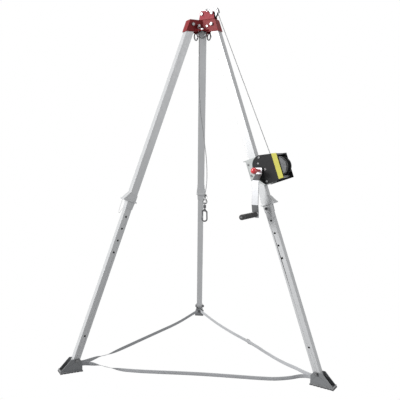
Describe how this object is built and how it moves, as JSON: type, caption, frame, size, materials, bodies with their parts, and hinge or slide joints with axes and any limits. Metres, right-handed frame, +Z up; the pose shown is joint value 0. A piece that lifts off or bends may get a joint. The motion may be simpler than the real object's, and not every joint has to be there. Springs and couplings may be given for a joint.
{
  "type": "rescue tripod",
  "caption": "Folding tripod with telescopic square legs, a twin pulley head, a crank winch with a steel cable and swivel snap hook, swivelling feet and a foot strap.",
  "frame": {"origin": "point on the ground plumb under the middle of the head", "axes": "+Z up, +Y towards the rear leg, +X towards the side of the winch leg"},
  "size_m": [1.7264, 1.4951, 2.3364],
  "materials": {
    "red_paint": "semi gloss powder coat",
    "zinc_steel": "zinc plated",
    "turned_steel": "turned",
    "bright_steel": "polished",
    "tether_cord": "thin coated cord",
    "pin_steel": "satin",
    "dark_pin": "blackened",
    "tube_aluminium": "satin anodised",
    "cast_aluminium": "fine cast",
    "shoe_steel": "grey zinc paint",
    "sole_rubber": "moulded",
    "grey_paint": "grey green paint",
    "black_paint": "semi gloss",
    "yellow_band": "bare",
    "wire_rope": "galvanised strands",
    "gear_steel": "oiled",
    "crank_paint": "zinc white",
    "red_knob": "moulded",
    "grip_rubber": "ribbed",
    "webbing": "woven"
  },
  "bodies": {
    "head": {"head_body": "red_paint", "head_bolts": "zinc_steel", "head_lanyards": "tether_cord", "pulley_cheeks": "red_paint", "rope_keeper": "bright_steel", "eye_bolts": "bright_steel", "cable_top": "wire_rope"},
    "sheave_outer": {"sheave_outer": "turned_steel"},
    "sheave_inner": {"sheave_inner": "turned_steel"},
    "head_pin_left": {"head_pin_left": "pin_steel"},
    "leg_left": {"upper_tube_left": "tube_aluminium", "collar_left": "cast_aluminium", "leg_lanyard_left": "tether_cord"},
    "leg_pin_left": {"leg_pin_left": "dark_pin"},
    "lower_left": {"lower_tube_left": "tube_aluminium", "foot_bolt_left": "zinc_steel", "strap_front": "webbing"},
    "foot_left": {"shoe_left": "shoe_steel", "sole_left": "sole_rubber"},
    "head_pin_right": {"head_pin_right": "pin_steel"},
    "leg_right": {"upper_tube_right": "tube_aluminium", "collar_right": "cast_aluminium", "leg_lanyard_right": "tether_cord", "winch_bracket": "grey_paint", "winch_hardware": "zinc_steel", "front_plate": "black_paint", "rear_plate": "black_paint", "yellow_band": "yellow_band", "cable_taut": "wire_rope"},
    "leg_pin_right": {"leg_pin_right": "dark_pin"},
    "lower_right": {"lower_tube_right": "tube_aluminium", "foot_bolt_right": "zinc_steel", "strap_right": "webbing"},
    "foot_right": {"shoe_right": "shoe_steel", "sole_right": "sole_rubber"},
    "head_pin_rear": {"head_pin_rear": "pin_steel"},
    "leg_rear": {"upper_tube_rear": "tube_aluminium", "collar_rear": "cast_aluminium", "leg_lanyard_rear": "tether_cord"},
    "leg_pin_rear": {"leg_pin_rear": "dark_pin"},
    "lower_rear": {"lower_tube_rear": "tube_aluminium", "foot_bolt_rear": "zinc_steel", "strap_left": "webbing"},
    "foot_rear": {"shoe_rear": "shoe_steel", "sole_rear": "sole_rubber"},
    "buckle": {"strap_buckle": "zinc_steel"},
    "drum": {"drum": "turned_steel", "wound_cable": "wire_rope"},
    "idler": {"idler_gear": "gear_steel"},
    "crank": {"crank_pinion": "gear_steel", "ratchet_wheel": "gear_steel", "crank_arm": "crank_paint", "crank_knob": "red_knob"},
    "grip": {"crank_grip": "grip_rubber"},
    "pawl": {"pawl": "gear_steel"},
    "hook_line": {"cable_end": "bright_steel", "hook_eye": "bright_steel", "cable_hanging": "wire_rope"},
    "hook": {"hook_body": "bright_steel"},
    "gate": {"hook_gate": "bright_steel"}
  },
  "joints": [
    {"name": "fold_right", "type": "hinge", "parent": "head", "child": "leg_right", "pos_m": [0.07534, -0.0435, 2.2212], "axis": [0.5, 0.866, 0], "range_deg": [0, 19], "deforming": ["strap_right", "strap_front", "strap_left", "cable_taut"]},
    {"name": "fold_left", "type": "hinge", "parent": "head", "child": "leg_left", "pos_m": [-0.07534, -0.0435, 2.2212], "axis": [0.5, -0.866, 0], "range_deg": [0, 19]},
    {"name": "fold_rear", "type": "hinge", "parent": "head", "child": "leg_rear", "pos_m": [0, 0.087, 2.2212], "axis": [-1, 0, 0], "range_deg": [0, 19]},
    {"name": "slide_right", "type": "slide", "parent": "leg_right", "child": "lower_right", "axis": [-0.2962, 0.171, 0.9397], "range_m": [0, 0.88]},
    {"name": "foot_right", "type": "hinge", "parent": "lower_right", "child": "foot_right", "pos_m": [0.75216, -0.43426, 0.074], "axis": [0.5, 0.866, 0], "range_deg": [-20, 20]},
    {"name": "leg_pin_right", "type": "slide", "parent": "leg_right", "child": "leg_pin_right", "axis": [-0.5, -0.866, 0], "range_m": [-0.01, 0.012], "deforming": ["leg_lanyard_right"]},
    {"name": "head_pin_right", "type": "slide", "parent": "head", "child": "head_pin_right", "axis": [0.5, 0.866, 0], "range_m": [-0.01, 0.012], "deforming": ["head_lanyards"]},
    {"name": "slide_left", "type": "slide", "parent": "leg_left", "child": "lower_left", "axis": [0.2962, 0.171, 0.9397], "range_m": [0, 0.88]},
    {"name": "foot_left", "type": "hinge", "parent": "lower_left", "child": "foot_left", "pos_m": [-0.75216, -0.43426, 0.074], "axis": [0.5, -0.866, 0], "range_deg": [-20, 20]},
    {"name": "leg_pin_left", "type": "slide", "parent": "leg_left", "child": "leg_pin_left", "axis": [-0.5, 0.866, 0], "range_m": [-0.01, 0.012], "deforming": ["leg_lanyard_left"]},
    {"name": "head_pin_left", "type": "slide", "parent": "head", "child": "head_pin_left", "axis": [0.5, -0.866, 0], "range_m": [-0.01, 0.012]},
    {"name": "slide_rear", "type": "slide", "parent": "leg_rear", "child": "lower_rear", "axis": [0, -0.342, 0.9397], "range_m": [0, 0.88]},
    {"name": "foot_rear", "type": "hinge", "parent": "lower_rear", "child": "foot_rear", "pos_m": [0, 0.86852, 0.074], "axis": [-1, 0, 0], "range_deg": [-20, 20]},
    {"name": "leg_pin_rear", "type": "slide", "parent": "leg_rear", "child": "leg_pin_rear", "axis": [1, 0, 0], "range_m": [-0.01, 0.012], "deforming": ["leg_lanyard_rear"]},
    {"name": "head_pin_rear", "type": "slide", "parent": "head", "child": "head_pin_rear", "axis": [-1, 0, 0], "range_m": [-0.01, 0.012]},
    {"name": "drum_turn", "type": "hinge", "parent": "leg_right", "child": "drum", "pos_m": [0.50635, -0.29234, 1.31686], "axis": [-0.5, -0.866, 0], "range_deg": [0, 1500]},
    {"name": "crank_turn", "type": "hinge", "parent": "leg_right", "child": "crank", "pos_m": [0.40972, -0.23655, 1.28904], "axis": [-0.5, -0.866, 0], "range_deg": [0, 5150]},
    {"name": "idler_turn", "type": "hinge", "parent": "leg_right", "child": "idler", "pos_m": [0.44018, -0.25414, 1.29781], "axis": [-0.5, -0.866, 0], "range_deg": [-4810, 0]},
    {"name": "sheave_outer_turn", "type": "hinge", "parent": "head", "child": "sheave_outer", "pos_m": [0.06842, -0.0395, 2.2952], "axis": [0.5, 0.866, 0], "range_deg": [0, 1710]},
    {"name": "sheave_inner_turn", "type": "hinge", "parent": "head", "child": "sheave_inner", "pos_m": [0.00433, -0.0025, 2.2952], "axis": [0.5, 0.866, 0], "range_deg": [0, 1710]},
    {"name": "hook_lift", "type": "slide", "parent": "head", "child": "hook_line", "axis": [0, 0, 1], "range_m": [0, 0.9], "deforming": ["cable_hanging"]},
    {"name": "grip_turn", "type": "hinge", "parent": "crank", "child": "grip", "pos_m": [0.40972, -0.23655, 1.01904], "axis": [-0.5, -0.866, 0], "continuous": true},
    {"name": "pawl_turn", "type": "hinge", "parent": "leg_right", "child": "pawl", "pos_m": [0.39994, -0.23091, 1.33175], "axis": [-0.5, -0.866, 0], "range_deg": [-15, 6], "stiffness_Nm_per_rad": 0.05},
    {"name": "hook_swivel", "type": "hinge", "parent": "hook_line", "child": "hook", "pos_m": [0.04, 0.012, 1.018], "axis": [0, 0, 1], "continuous": true},
    {"name": "gate_turn", "type": "hinge", "parent": "hook", "child": "gate", "pos_m": [0.0255, 0.012, 0.992], "axis": [0, -1, 0], "range_deg": [0, 28], "stiffness_Nm_per_rad": 0.05, "springref_deg": -11.46},
    {"name": "buckle_draw", "type": "slide", "parent": "lower_right", "child": "buckle", "axis": [0.697, -0.7171, 0], "range_m": [0, 0.6334]}
  ],
  "couplings": [
    {"joint": "buckle_draw", "follows": "fold_right", "m_per_rad": 1.91},
    {"joint": "fold_left", "follows": "fold_right", "ratio": 1},
    {"joint": "fold_rear", "follows": "fold_right", "ratio": 1},
    {"joint": "crank_turn", "follows": "drum_turn", "ratio": 3.4286},
    {"joint": "idler_turn", "follows": "drum_turn", "ratio": -3.2},
    {"joint": "sheave_outer_turn", "follows": "drum_turn", "ratio": 1.1333},
    {"joint": "sheave_inner_turn", "follows": "drum_turn", "ratio": 1.1333},
    {"joint": "hook_lift", "follows": "drum_turn", "m_per_rad": 0.034}
  ]
}
